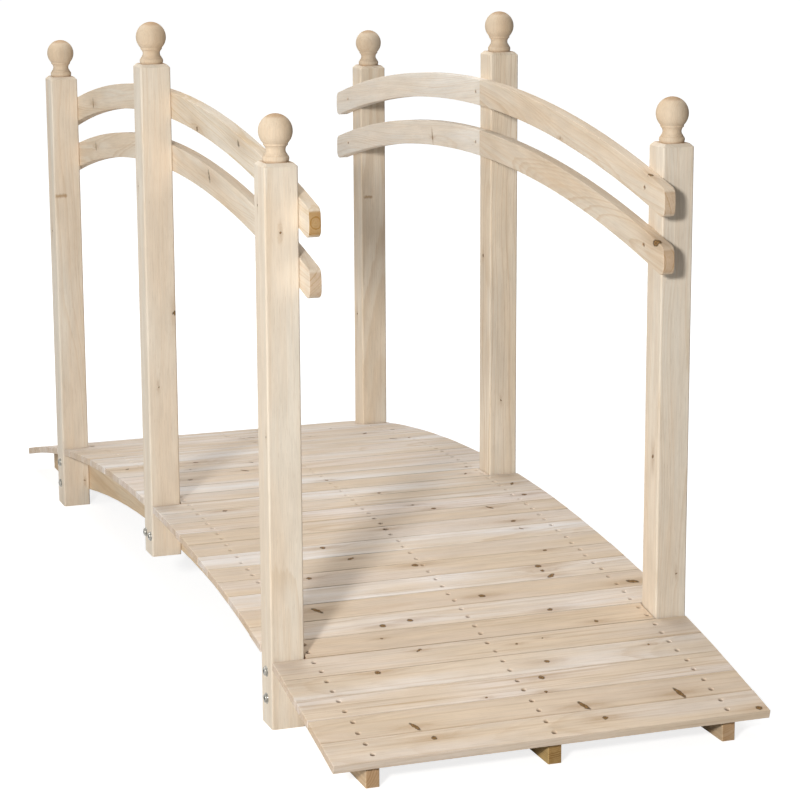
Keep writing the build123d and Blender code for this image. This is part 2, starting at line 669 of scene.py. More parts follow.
    def _knot_colour(self, nodes: GrainNodes, knots: KnotMasks, colour: Socket) -> Socket:
        """Lay the knots over the wood.

        Args:
            nodes: The group's nodes.
            knots: The knots' masks and distance.
            colour: The clear wood's colour.

        Returns:
            The colour's socket.
        """
        g = nodes.graph
        brown, bark = nodes.given["Knot Colour"], nodes.given["Bark Colour"]
        whorl = g.ramp(g.math("SINE", g.times(knots.reach, self.whorl_turns)), self.whorl)
        crumbs = g.times(g.ramp(nodes.read(self.crumbs), self.crumbs_edge), self.crumbs_share)
        heart = g.blend(g.math("MAXIMUM", whorl, crumbs), brown, bark)
        colour = g.blend(g.times(knots.flow, self.flow_share), colour, brown)
        colour = g.blend(g.times(knots.stain, self.stain_share), colour, brown)
        colour = g.blend(g.times(knots.heart, self.heart_share), colour, heart)
        colour = g.blend(g.ramp(knots.reach, self.core), colour, bark)
        return g.blend(g.times(knots.bark, self.bark_share), colour, bark)

    def _grow(self, nodes: GrainNodes) -> None:
        """Build the group's nodes.

        Args:
            nodes: The group's nodes.
        """
        g, ends = nodes.graph, nodes.given["End Grain"]
        knots = self._knots(nodes)
        late = self._late_wood(nodes, knots.flow)
        fibre = nodes.read(self.fibre)
        tick = g.ramp(nodes.read(self.tick), self.tick_edge)
        colour = self._knot_colour(nodes, knots, self._clear_colour(nodes, late, fibre, tick))
        dark = g.blend(1.0, colour, nodes.given["Late Colour"], "MULTIPLY")
        rough = g.math("ADD", g.ramp(fibre, self.fibre_rough), g.times(ends, self.end_rough))
        rough = g.math("SUBTRACT", rough, g.times(late, self.late_gloss))
        feeds: Feeds = {
            "Colour": g.blend(g.times(ends, self.end_dusk), colour, dark),
            "Roughness": g.math("SUBTRACT", rough, g.times(knots.heart, self.heart_gloss)),
            "Height": g.math("SUBTRACT", fibre, g.times(tick, self.tick_depth)),
        }
        g.add("NodeGroupOutput", feeds)


@dataclass(frozen=True)
class GrainFrame:
    """How a piece's grain lies in the bridge."""

    origin: Vector
    along: Vector
    across: Vector
    cut: Cut = Cut.RIFT
    seed: float = 0.0
    knots: tuple[Knot, ...] = ()
    taper: float = 0.012

    @classmethod
    def through(cls, node: str, along: Vector, across: Vector, **grain: object) -> "GrainFrame":
        """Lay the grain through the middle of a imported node.

        Args:
            node: The node's name.
            along: Which way the grain runs.
            across: Which way the board's width runs.
            **grain: The frame's other values.

        Returns:
            The frame.
        """
        low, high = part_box(node)
        return cls((low + high) / 2, along, across, **grain)

    def turn(self) -> Matrix:
        """Give the rotation from bridge axes to board axes.

        Returns:
            The rotation.
        """
        along = self.along.normalized()
        depth = along.cross(self.across).normalized()
        return Matrix((along, depth.cross(along), depth))


@dataclass(frozen=True)
class WoodFinish:
    """Bare softwood of one kind of stock."""

    END_FACING: ClassVar[tuple[float, float]] = (0.72, 0.92)

    name: str
    early: Colour = srgb(233, 221, 204)
    late: Colour = srgb(203, 174, 138)
    warm: Colour = srgb(226, 205, 179)
    knot: Colour = srgb(158, 116, 62)
    bark: Colour = srgb(48, 32, 10)
    ring_width: float = 3.0
    ring_strength: float = 0.35
    streak_strength: float = 0.18
    # Painted shade in the fixing holes: the colour darkens towards this brown with depth.
    hole: Colour = srgb(82, 56, 26)
    hole_edge: Ease = Ease(0.20, 0.75, 0.0, 0.86)
    end_share: float = 1.0
    relief: float = 0.0003
    relief_strength: float = 0.5
    sheen_level: float = 0.05

    def _end_grain(self, graph: Graph, facing: Socket) -> Socket:
        """Mask the sawn ends by how squarely a face looks along the board."""
        ease = Ease(*self.END_FACING, 0.0, self.end_share)
        return graph.ramp(graph.math("ABSOLUTE", facing), ease)

    def _grain(self, graph: Graph, feeds: Feeds) -> bpy.types.Node:
        """Place the grain group with this finish's values.

        Args:
            graph: The material's nodes.
            feeds: Grain values that are not this finish's own.

        Returns:
            The group's node.
        """
        own: Feeds = {
            "Ring Width": self.ring_width,
            "Ring Strength": self.ring_strength,
            "Streak Strength": self.streak_strength,
            "Early Colour": self.early,
            "Late Colour": self.late,
            "Warm Colour": self.warm,
            "Knot Colour": self.knot,
            "Bark Colour": self.bark,
        }
        return graph.add("ShaderNodeGroup", {**own, **feeds}, node_tree=SoftwoodGrain().tree())

    def _shade(self, graph: Graph, grain: bpy.types.Node, colour: Socket) -> None:
        """Wire the grain into the material's shader, with painted shade down in the fixing holes.

        Args:
            graph: The material's nodes.
            grain: The grain group's node.
            colour: The finished colour.
        """
        sunk = graph.add("ShaderNodeAttribute", attribute_name=SunkHole.LAYER).outputs["Fac"]
        relief: Feeds = {
            "Height": grain.outputs["Height"],
            "Strength": self.relief_strength,
            "Distance": self.relief,
        }
        feeds: Feeds = {
            # Painted shade: the colour darkens towards the hole colour down in the fixing holes.
            "Base Color": graph.blend(graph.ramp(sunk, self.hole_edge), colour, self.hole),
            "Roughness": grain.outputs["Roughness"],
            "Normal": graph.add("ShaderNodeBump", relief).outputs[0],
            "Specular IOR Level": self.sheen_level,
        }
        graph.output(graph.add("ShaderNodeBsdfPrincipled", feeds))

    def framed(self, piece: str, frame: GrainFrame) -> bpy.types.Material:
        """Make the material of one piece from how its grain lies.

        Args:
            piece: The piece's name.
            frame: How its grain lies.

        Returns:
            The finished material.
        """
        material, graph = blank_material(f"{self.name}_{piece}", self.early)
        turn = frame.turn()
        coords = graph.add("ShaderNodeTexCoord").outputs
        lie: Feeds = {
            "Vector": coords["Object"],
            "Location": -(turn @ frame.origin),
            "Rotation": turn.to_euler(),
        }
        along = tuple(frame.along.normalized())
        facing = graph.vector("DOT_PRODUCT", coords["Normal"], along)
        feeds: Feeds = {
            "Board": graph.add("ShaderNodeMapping", lie, vector_type="POINT").outputs[0],
            "Seed": frame.seed,
            "Taper": frame.taper,
            "Pith": (0.0, *frame.cut.value),
            "End Grain": self._end_grain(graph, facing),
        }
        for number, knot in zip(KNOT_NUMBERS, padded(frame.knots)):
            feeds[f"Knot {number} Place"] = (knot.along, knot.across, knot.depth)
            feeds[f"Knot {number} Radius"] = knot.radius
            feeds[f"Knot {number} Lean"] = knot.lean
            feeds[f"Knot {number} Run"] = knot.run
        grain = self._grain(graph, feeds)
        self._shade(graph, grain, grain.outputs["Colour"])
        return material


@dataclass(frozen=True)
class PlankFinish(WoodFinish):
    """Deck boards, whose tone, sawing and knots differ from plank to plank."""

    pale: Colour = srgb(245, 239, 234)
    blush: Colour = srgb(238, 224, 214)
    blush_chance: Ease = Ease(0.15, 0.95, 0.0, 0.8)
    tan: Colour = srgb(220, 199, 176)
    # Painted shade along each plank's top edges beside the joints, where the gaps' shade falls; its
    # strength differs from plank to plank.
    seam: Colour = srgb(112, 84, 52)
    seam_width: float = 1.2
    seam_chance: Ease = Ease(0.0, 1.0, 0.30, 0.90)
    seam_facing: Ease = Ease(0.3, 0.6)
    half_width: float = 28.0
    end_share: float = 0.4
    pith_reach: float = 75.0
    pith_depth: Ease = Ease(0.0, 1.0, -74.0, -12.0)
    taper_reach: float = 0.08
    least_ring: float = 0.7
    ring_shares: tuple[float, float] = (0.6, 1.4)
    streak_chance: tuple[float, float] = (0.2, 1.0)
    streak_shares: tuple[float, float] = (0.4, 1.8)

    @staticmethod
    def _read(graph: Graph, name: str, output: str = "Fac") -> Socket:
        """Read one of the planks' attributes."""
        return graph.add("ShaderNodeAttribute", attribute_name=name).outputs[output]

    def _sawing(self, graph: Graph, plank: Socket) -> Feeds:
        """Draw how a plank was sawn and how strong its grain is.

        Args:
            graph: The material's nodes.
            plank: The plank's number.

        Returns:
            The grain values drawn, and the plank's ground colour and the strength of its painted
            seam shade.
        """
        first, second, third = graph.split(graph.dice(plank).outputs["Color"])
        pith_across = graph.math("MULTIPLY_ADD", third, 2 * self.pith_reach, -self.pith_reach)
        rings = [share * self.ring_strength for share in self.ring_shares]
        streaks = [share * self.streak_strength for share in self.streak_shares]
        least_ring = self.least_ring * self.ring_width
        ground = graph.blend(graph.ramp(first, self.blush_chance), self.pale, self.blush)
        return {
            "Pith": graph.join(0.0, pith_across, graph.ramp(second, self.pith_depth)),
            "Taper": graph.math("MULTIPLY_ADD", second, 2 * self.taper_reach, -self.taper_reach),
            "Ring Width": graph.math("MULTIPLY_ADD", third, self.ring_width, least_ring),
            "Ring Strength": graph.ramp(first, Ease(0.0, 1.0, *rings)),
            "Streak Strength": graph.ramp(third, Ease(*self.streak_chance, *streaks)),
            "Early Colour": graph.blend(self._read(graph, PlankMarks.TONE), ground, self.tan),
            "Seam": graph.ramp(second, self.seam_chance),
        }

    def planked(self) -> bpy.types.Material:
        """Make the deck's material from the planks' own attributes.

        Returns:
            The finished material.
        """
        material, graph = blank_material(self.name, self.early)
        board = self._read(graph, PlankMarks.BOARD, "Vector")
        plank = self._read(graph, PlankMarks.PLANK)
        normal = graph.add("ShaderNodeTexCoord").outputs["Normal"]
        facing_x, _, facing_z = graph.split(normal)
        feeds = self._sawing(graph, plank)
        seam_shade_strength = feeds.pop("Seam")
        feeds |= {"Board": board, "Seed": plank, "End Grain": self._end_grain(graph, facing_x)}
        for number in KNOT_NUMBERS:
            knot = self._read(graph, f"{PlankMarks.KNOT}{number}", "Vector")
            along, across, radius = graph.split(knot)
            feeds[f"Knot {number} Place"] = graph.join(along, across, 0.0)
            feeds[f"Knot {number} Radius"] = radius
            feeds[f"Knot {number} Lean"] = self._read(graph, f"{PlankMarks.LEAN}{number}")
        grain = self._grain(graph, feeds)
        # Painted shade: the top's eased edges darken beside the gaps between planks.
        width = graph.split(graph.vector("SCALE", board, 1 / MILLIMETRE))[1]
        edge = Ease(self.half_width - self.seam_width, self.half_width)
        seam = graph.times(
            graph.ramp(graph.math("ABSOLUTE", width), edge),
            seam_shade_strength,
            graph.ramp(facing_z, self.seam_facing),
        )
        self._shade(graph, grain, graph.blend(seam, grain.outputs["Colour"], self.seam))
        return material


@dataclass(frozen=True)
class SteelFinish:
    """Zinc-plated steel with spangle and handling marks."""

    name: str
    bright: Colour = srgb(176, 174, 168)
    dull: Colour = srgb(116, 114, 107)
    spangle_per_metre: float = 900.0
    spangle_share: Ease = Ease(0.45, 0.75, 0.0, 0.35)
    spangle_rough: Ease = Ease(0.4, 0.7, 0.0, 0.08)
    film_per_metre: float = 150.0
    film_detail: float = 3.0
    film_grit: float = 0.6
    film_share: Ease = Ease(0.35, 0.68)
    film_rough: Ease = Ease(0.3, 0.7, 0.28, 0.46)
    relief: float = 0.0001
    relief_strength: float = 0.25

    def material(self) -> bpy.types.Material:
        """Make the material.

        Returns:
            The finished material.
        """
        material, graph = blank_material(self.name, self.bright)
        place = graph.add("ShaderNodeTexCoord").outputs["Object"]
        fine = graph.vector("SCALE", place, self.spangle_per_metre)
        broad = graph.vector("SCALE", place, self.film_per_metre)
        spangle = graph.noise(fine).outputs[0]
        film = graph.noise(broad, self.film_detail, self.film_grit).outputs[0]
        colour = graph.blend(graph.ramp(film, self.film_share), self.bright, self.dull)
        film_rough = graph.ramp(film, self.film_rough)
        relief: Feeds = {
            "Height": spangle,
            "Strength": self.relief_strength,
            "Distance": self.relief,
        }
        feeds: Feeds = {
            "Base Color": graph.blend(graph.ramp(spangle, self.spangle_share), colour, self.dull),
            "Roughness": graph.math("ADD", film_rough, graph.ramp(spangle, self.spangle_rough)),
            "Normal": graph.add("ShaderNodeBump", relief).outputs[0],
            "Metallic": 1.0,
        }
        graph.output(graph.add("ShaderNodeBsdfPrincipled", feeds))
        return material


BRIGHT_ZINC = SteelFinish("zinc_steel")
YELLOW_ZINC = SteelFinish("yellow_zinc_steel", srgb(150, 124, 82), srgb(96, 72, 42))


class Bench:
    """Shapes bmesh work and turns it into finished pieces of the bridge."""

    CRISP_EDGE: ClassVar[float] = math.radians(32)
    BROAD_FACE: ClassVar[float] = 0.999

    @classmethod
    def piece(
        cls, name: str, work: bmesh.types.BMesh, material: bpy.types.Material, slot: Slot
    ) -> bpy.types.Object:
        """Make a piece that rides with the bridge.

        Args:
            name: The piece's name.
            work: Its finished mesh, which is used up.
            material: Its finish.
            slot: Its material slot; not used.

        Returns:
            The piece.
        """
        mesh = bpy.data.meshes.new(name)
        work.to_mesh(mesh)
        work.free()
        mesh.set_sharp_from_angle(angle=cls.CRISP_EDGE)
        mesh.materials.append(material)
        made = bpy.data.objects.new(name, mesh)
        bpy.context.scene.collection.objects.link(made)
        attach(made, ROOT)
        LOG.info("piece %s: %d faces", name, len(mesh.polygons))
        return made

    @staticmethod
    def dress(node: str, material: bpy.types.Material, slot: Slot) -> None:
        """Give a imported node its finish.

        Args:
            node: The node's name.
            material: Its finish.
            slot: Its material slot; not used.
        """
        carried = bpy.data.objects[node]
        carried.data.materials.clear()
        carried.data.materials.append(material)
        LOG.info("piece %s: packed solid dressed", node)

    @staticmethod
    def absorb(target: bmesh.types.BMesh, part: bmesh.types.BMesh) -> list[bmesh.types.BMVert]:
        """Move one mesh into another.

        Args:
            target: The mesh that takes it in.
            part: The mesh to move, which is used up.

        Returns:
            The new vertices.
        """
        holder = bpy.data.meshes.new("bench_work")
        part.to_mesh(holder)
        part.free()
        start = len(target.verts)
        target.from_mesh(holder)
        bpy.data.meshes.remove(holder)
        target.verts.ensure_lookup_table()
        return target.verts[start:]

    @staticmethod
    def carve(body: bmesh.types.BMesh, cutter: bmesh.types.BMesh) -> bmesh.types.BMesh:
        """Cut one shape out of another.

        Args:
            body: The shape that stays, which is used up.
            cutter: The shape that is cut away, which is used up.

        Returns:
            The carved shape.
        """
        holders = []
        for name, work in (("carve_body", body), ("carve_cutter", cutter)):
            mesh = bpy.data.meshes.new(name)
            work.to_mesh(mesh)
            work.free()
            holder = bpy.data.objects.new(name, mesh)
            bpy.context.scene.collection.objects.link(holder)
            holders.append(holder)
        cut = holders[0].modifiers.new("cut", "BOOLEAN")
        cut.operation = "DIFFERENCE"
        cut.solver = "EXACT"
        cut.object = holders[1]
        graph = bpy.context.evaluated_depsgraph_get()
        carved = bmesh.new()
        carved.from_mesh(holders[0].evaluated_get(graph).to_mesh())
        for holder in holders:
            mesh = holder.data
            bpy.data.objects.remove(holder)
            bpy.data.meshes.remove(mesh)
        return carved

    @staticmethod
    def bare_copy(node: str) -> bmesh.types.BMesh:
        """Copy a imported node's shape without its stored shading.

        Args:
            node: The node's name.

        Returns:
            The copy, its corners joined.
        """
        mesh = bpy.data.objects[node].data.copy()
        stored = mesh.attributes.get("custom_normal")
        if stored is not None:
            mesh.attributes.remove(stored)
        copy = bmesh.new()
        copy.from_mesh(mesh)
        bpy.data.meshes.remove(mesh)
        bmesh.ops.remove_doubles(copy, verts=copy.verts, dist=WELD)
        return copy

    @staticmethod
    def bar(
        work: bmesh.types.BMesh,
        sides: int,
        radii: tuple[float, float],
        height: float,
        place: Matrix,
    ) -> None:
        """Add a capped bar that stands along Z about its centre.

        Args:
            work: The mesh that it goes into.
            sides: How many sides it has.
            radii: Its radius below and above.
            height: Its height.
            place: Where its centre is and how it is turned.
        """
        bmesh.ops.create_cone(
            work,
            cap_ends=True,
            segments=sides,
            radius1=radii[0],
            radius2=radii[1],
            depth=height,
            matrix=place,
        )

    @staticmethod
    def ease(
        work: bmesh.types.BMesh, edges: list[bmesh.types.BMEdge], size: float, steps: int
    ) -> None:
        """Round some edges.

        Args:
            work: The mesh.
            edges: The edges.
            size: Width of the rounding.
            steps: How many facets it has.
        """
        bmesh.ops.bevel(
            work,
            geom=edges,
            offset=size,
            offset_type="OFFSET",
            affect="EDGES",
            segments=steps,
            profile=0.5,
            material=-1,
            clamp_overlap=True,
        )

    @classmethod
    def smooth(cls, work: bmesh.types.BMesh, flat: Vector | None = None) -> None:
        """Shade a mesh smooth.

        Args:
            work: The mesh.
            flat: Axis along which broad faces look that stay flat, if any.
        """
        for face in work.faces:
            face.smooth = flat is None or abs(face.normal.dot(flat)) < cls.BROAD_FACE


@dataclass(frozen=True)
class SunkHole:
    """Countersunk hole with a fixing at its bottom."""

    LAYER: ClassVar[str] = "sunk"
    SLACK_ACROSS: ClassVar[float] = 1.2
    SLACK_DOWN: ClassVar[float] = 1.1

    mouth: float = 0.0042
    floor: float = 0.0030
    depth: float = 0.0034
    rise: float = 0.0020
    sides: int = 14
    lean: float = 0.0
    lean_bearing: float = 0.0

    def bore(self) -> Matrix:
        """Give the turn from the surface's normal to the hole's own axis."""
        bearing = Matrix.Rotation(self.lean_bearing, 4, "Z")
        return bearing @ Matrix.Rotation(self.lean, 4, "Y") @ bearing.inverted()

    def cutter(self, work: bmesh.types.BMesh, place: Matrix) -> None:
        """Add the shape to cut away.

        Args:
            work: The mesh that it goes into.
            place: Centre of the hole's mouth, which opens along Z.
        """
        slope = (self.mouth - self.floor) / self.depth
        radii = (self.floor, self.mouth + slope * self.rise)
        shift = Matrix.Translation((0, 0, (self.rise - self.depth) / 2))
        height = self.depth + self.rise
        Bench.bar(work, self.sides, radii, height, place @ self.bore() @ shift)

    def sunk(self, spot: Vector) -> float:
        """Give how deep a spot lies in the hole.

        Args:
            spot: Its place from the mouth's centre, with Z out of the wood.

        Returns:
            0 at the mouth or outside the hole, and 1 at the floor.
        """
        bored = self.bore().inverted() @ spot
        near = math.hypot(bored.x, bored.y) < self.SLACK_ACROSS * self.mouth
        inside = near and bored.z > -self.SLACK_DOWN * self.depth
        return min(1.0, max(0.0, -spot.z / self.depth)) if inside else 0.0


class PlankMarks:
    """The attributes that tell the deck's finish about each plank."""

    BOARD: ClassVar[str] = "board"
    PLANK: ClassVar[str] = "plank"
    TONE: ClassVar[str] = "tone"
    KNOT: ClassVar[str] = "knot_"
    LEAN: ClassVar[str] = "lean_"

    def __init__(self, run: bmesh.types.BMesh) -> None:
        """Add the attributes.

        Args:
            run: The mesh of a run of planks.
        """
        vectors, numbers = run.verts.layers.float_vector, run.verts.layers.float
        vectors.new(self.BOARD)
        for name in (self.PLANK, self.TONE, SunkHole.LAYER):
            numbers.new(name)
        for number in KNOT_NUMBERS:
            vectors.new(f"{self.KNOT}{number}")
            numbers.new(f"{self.LEAN}{number}")
        self.board, self.plank = vectors[self.BOARD], numbers[self.PLANK]
        self.tone, self.sunk = numbers[self.TONE], numbers[SunkHole.LAYER]
        self.knots = [vectors[f"{self.KNOT}{number}"] for number in KNOT_NUMBERS]
        self.leans = [numbers[f"{self.LEAN}{number}"] for number in KNOT_NUMBERS]

    def mark(
        self,
        vert: bmesh.types.BMVert,
        plank: float,
        tone: float,
        sunk: float,
        knots: tuple[Knot, ...],
    ) -> None:
        """Write a plank's values to one of its vertices.

        Args:
            vert: The vertex, still in its plank's own place.
            plank: The plank's number.
            tone: How tan the plank is.
            sunk: How deep in a fixing hole the vertex is.
            knots: The plank's knots.
        """
        vert[self.board] = vert.co
        vert[self.plank] = plank
        vert[self.tone] = tone
        vert[self.sunk] = sunk
        for knot, place, lean in zip(knots, self.knots, self.leans):
            vert[place] = (knot.along, knot.across, knot.radius)
            vert[lean] = knot.lean


@dataclass
class Deck:
    """The planks, laid side by side on the arc, with their nails."""

    LENGTH_DICE: ClassVar[int] = 90
    KNOT_DICE: ClassVar[int] = 700
    NAIL_DICE: ClassVar[int] = 4000
    FIRST_NUMBER: ClassVar[float] = 40.0

    nail_steel: bpy.types.Material
    width: float = 0.656
    radius: float = 3.900
    spacing: float = 0.0569
    least_gap: float = 0.0006
    most_gap: float = 0.0016
    thickness: float = 0.012
    edge_round: float = 0.0008
    edge_steps: int = 3
    end_ease: float = 0.0005
    end_steps: int = 1
    end_stray: float = 0.0012
    notch_gap: float = 0.0015
    post_side: float = 0.050
    ramp_count: int = 5
    span_count: int = 11
    nail_row: float = 0.268
    nail_reach: float = 0.0131
    nail_stray: float = 0.0016
    nail_head: float = 0.0018
    nail_taper: float = 0.8
    nail_height: float = 0.0006
    nail_sides: int = 8
    hole: SunkHole = SunkHole(lean=math.radians(24), lean_bearing=math.radians(50))
    finish: PlankFinish = PlankFinish(
        "deck_softwood",
        late=srgb(192, 160, 120),
        ring_width=3.0,
        ring_strength=0.36,
        streak_strength=0.32,
    )
    # How tan each plank is, near ramp to far end: the tones differ at random from plank to plank,
    # and they are also partly painted light, more tan on the near ramp and paler towards the far
    # end, where the deck is lit more brightly.
    near_tones: tuple[float, ...] = (
        0.66, 0.90, 0.18, 0.34, 0.70, 0.92, 0.20, 0.78, 0.06,
        0.56, 0.76, 0.00, 0.44, 0.54, 0.00, 0.36, 0.10,
    )
    middle_tone: float = 0.40
    far_tones: tuple[float, ...] = (
        0.05, 0.22, 0.00, 0.20, 0.40, 0.05, 0.16, 0.00, 0.25,
        0.05, 0.16, 0.30, 0.00, 0.16, 0.00, 0.20, 0.08,
    )
    knot_counts: tuple[int, ...] = (1, 1, 2, 2, 3)
    knot_leans: tuple[float, ...] = (0.0, 0.0, 0.7, -0.7)
    knot_along: float = 300.0
    knot_across: float = 24.0
    knot_radii: tuple[float, float] = (1.8, 4.6)
    knots: dict[int, tuple[Knot, ...]] = field(
        default_factory=lambda: {
            -17: (Knot(-170, 9, 0, 4.2), Knot(85, 5, 0, 4.0), Knot(314, -18, 0, 4.8)),
            -16: (
                Knot(-186, -15, 0, 4.2, -0.8),
                Knot(68, -15, 0, 4.6, -0.8),
                Knot(218, -13, 0, 5.0, -0.9),
            ),
            -15: (Knot(38, 13, 0, 4.6), Knot(30, -25, 0, 2.8), Knot(-60, -22, 0, 1.8)),
            -14: (Knot(-189, 22, 0, 4.6), Knot(64, -2, 0, 4.0), Knot(232, 12, 0, 1.8)),
            -13: (Knot(-108, 15, 0, 2.6, 0.5), Knot(40, 1, 0, 2.4), Knot(84, 10, 0, 2.0)),
            -12: (Knot(185, -15, 0, 3.2), Knot(-150, 6, 0, 2.0)),
            -11: (Knot(-134, -12, 0, 4.6), Knot(-88, -4, 0, 4.6), Knot(132, -19, 0, 4.2)),
            -10: (Knot(-213, 4, 0, 4.6, -0.7), Knot(48, -6, 0, 5.0), Knot(297, -12, 0, 6.0, -0.3)),
            -9: (Knot(176, 22, 0, 5.4), Knot(176, 4, 0, 3.6), Knot(181, -18, 0, 4.4, 0.5)),
            -8: (Knot(-187, 9, 0, 4.2), Knot(-10, 18, 0, 5.4), Knot(212, 24, 0, 3.6)),
            -7: (Knot(-99, 13, 0, 3.6, 0.4),),
            -5: (Knot(-1, 14, 0, 3.4), Knot(215, -6, 0, 4.4)),
            -3: (Knot(85, 9, 0, 3.0), Knot(112, -20, 0, 4.2), Knot(286, 8, 0, 4.2)),
            -1: (Knot(56, -18, 0, 3.4),),
        }
    )
    material: bpy.types.Material = field(init=False)
    crest: float = field(init=False)
    tones: tuple[float, ...] = field(init=False)

    def build(self) -> None:
        """Lay every plank and set its nails."""
        self.material = self.finish.planked()
        self.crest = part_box("middle_post_plank")[1].z
        self.tones = (*self.near_tones, self.middle_tone, *self.far_tones)
        post_step = self.span_count + 1
        last = post_step + self.ramp_count
        short = self.width - 2 * (self.post_side + self.notch_gap)
        for end in (End.NEAR, End.FAR):
            ramp = [end.value * step for step in range(post_step + 1, last + 1)]
            span = [end.value * step for step in range(1, post_step)]
            self._run(f"{end.label}_ramp_planks", ramp, self.width)
            self._run(f"{end.label}_span_planks", span, self.width)
            self._run(f"{end.label}_post_plank", [end.value * post_step], short)
        self._run("middle_post_plank", [0], short)

    def _run(self, node: str, steps: list[int], width: float) -> None:
        """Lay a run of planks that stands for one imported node.

        Args:
            node: The node's name.
            steps: The planks' places from mid span.
            width: Their length across the bridge.
        """
        run, nails = bmesh.new(), bmesh.new()
        marks = PlankMarks(run)
        for step in steps:
            spots = self._nail_spots(step)
            for spot in spots:
                self._nail(nails, self._place(step) @ Matrix.Translation(spot))
            self._lay(run, marks, step, width, spots)
        made = Bench.piece(f"laid_{node}", run, self.material, Slot.DECK)
        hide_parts(node)
        Bench.piece(f"nails_{node}", nails, self.nail_steel, Slot.STEEL)

    def _lay(
        self,
        run: bmesh.types.BMesh,
        marks: PlankMarks,
        step: int,
        width: float,
        spots: list[Vector],
    ) -> None:
        """Bore a plank, mark it and lay it in its place.

        Args:
            run: The mesh that it goes into.
            marks: The attributes of that mesh.
            step: The plank's place from mid span.
            width: Its full length across the bridge.
            spots: Where its nails go.
        """
        dice = random.Random(self.LENGTH_DICE + step)
        length = width - dice.uniform(0, self.end_stray)
        gap = dice.uniform(self.least_gap, self.most_gap)
        shift = Vector((dice.uniform(-1, 1) * self.end_stray / 2, 0, 0))
        cutter = bmesh.new()
        for spot in spots:
            self.hole.cutter(cutter, Matrix.Translation(spot))
        plank = Bench.carve(self._board(length, gap), cutter)
        Bench.smooth(plank, UP)
        place, knots = self._place(step), self._knots(step)
        tone = self.tones[step + len(self.near_tones)]
        for vert in Bench.absorb(run, plank):
            sunk = max(self.hole.sunk(vert.co - spot) for spot in spots)
            marks.mark(vert, step + self.FIRST_NUMBER, tone, sunk, knots)
            vert.co = place @ (vert.co + shift)

    def _place(self, step: int) -> Matrix:
        """Give the place of a plank's top centre, turned to lie on the arc.

        Args:
            step: The plank's place from mid span.

        Returns:
            The place.
        """
        turn = Matrix.Rotation(-step * self.spacing / self.radius, 4, "X")
        centre = Matrix.Translation((0, 0, self.crest - self.radius))
        return centre @ turn @ Matrix.Translation((0, 0, self.radius))

    def _board(self, width: float, gap: float) -> bmesh.types.BMesh:
        """Make a bare plank with eased edges, its top centre at the origin.

        Args:
            width: Its length across the bridge.
            gap: Gap to the next plank.

        Returns:
            The plank's mesh.
        """
        board = bmesh.new()
        size = Matrix.Diagonal((width, self.spacing - gap, self.thickness, 1))
        drop = Matrix.Translation((0, 0, -self.thickness / 2))
        bmesh.ops.create_cube(board, size=1.0, matrix=drop @ size)

        def runs_across(edge: bmesh.types.BMEdge) -> bool:
            """Tell whether an edge runs from one end of the plank to the other."""
            return edge.verts[0].co.x * edge.verts[1].co.x < 0

        def on_top(edge: bmesh.types.BMEdge) -> bool:
            """Tell whether an edge lies in the plank's top."""
            return min(vert.co.z for vert in edge.verts) > -MILLIMETRE

        top = [edge for edge in board.edges if on_top(edge) and runs_across(edge)]
        Bench.ease(board, top, self.edge_round, self.edge_steps)
        ends = [edge for edge in board.edges if not runs_across(edge)]
        Bench.ease(board, ends, self.end_ease, self.end_steps)
        return board

    def _knots(self, step: int) -> tuple[Knot, ...]:
        """Give a plank's knots, drawn by chance where none are set.

        Args:
            step: The plank's place from mid span.

        Returns:
            Its knots, with blanks for those that it lacks.
        """
        dice = random.Random(self.KNOT_DICE + step)
        drawn = tuple(
            Knot(
                dice.uniform(-self.knot_along, self.knot_along),
                dice.uniform(-self.knot_across, self.knot_across),
                radius=dice.uniform(*self.knot_radii),
                lean=dice.choice(self.knot_leans),
            )
            for _ in range(dice.choice(self.knot_counts))
        )
        return padded(self.knots.get(step, drawn))

    def _nail_spots(self, step: int) -> list[Vector]:
        """Give the nails of a plank, each a little off its mark.

        Args:
            step: The plank's place from mid span.

        Returns:
            Their places on the plank's top.
        """
        dice = random.Random(self.NAIL_DICE + step)
        stray = self.nail_stray
        return [
            Vector((x + dice.uniform(-stray, stray), y + dice.uniform(-stray, stray), 0))
            for x in (-self.nail_row, 0.0, self.nail_row)
            for y in (-self.nail_reach, self.nail_reach)
        ]

    def _nail(self, work: bmesh.types.BMesh, place: Matrix) -> None:
        """Add a nail head at the bottom of its hole.

        Args:
            work: The mesh that it goes into.
            place: Centre of the hole's mouth.
        """
        lift = Matrix.Translation((0, 0, self.nail_height / 4 - self.hole.depth))
        radii = (self.nail_head, self.nail_taper * self.nail_head)
        place = place @ self.hole.bore() @ lift
        Bench.bar(work, self.nail_sides, radii, self.nail_height, place)


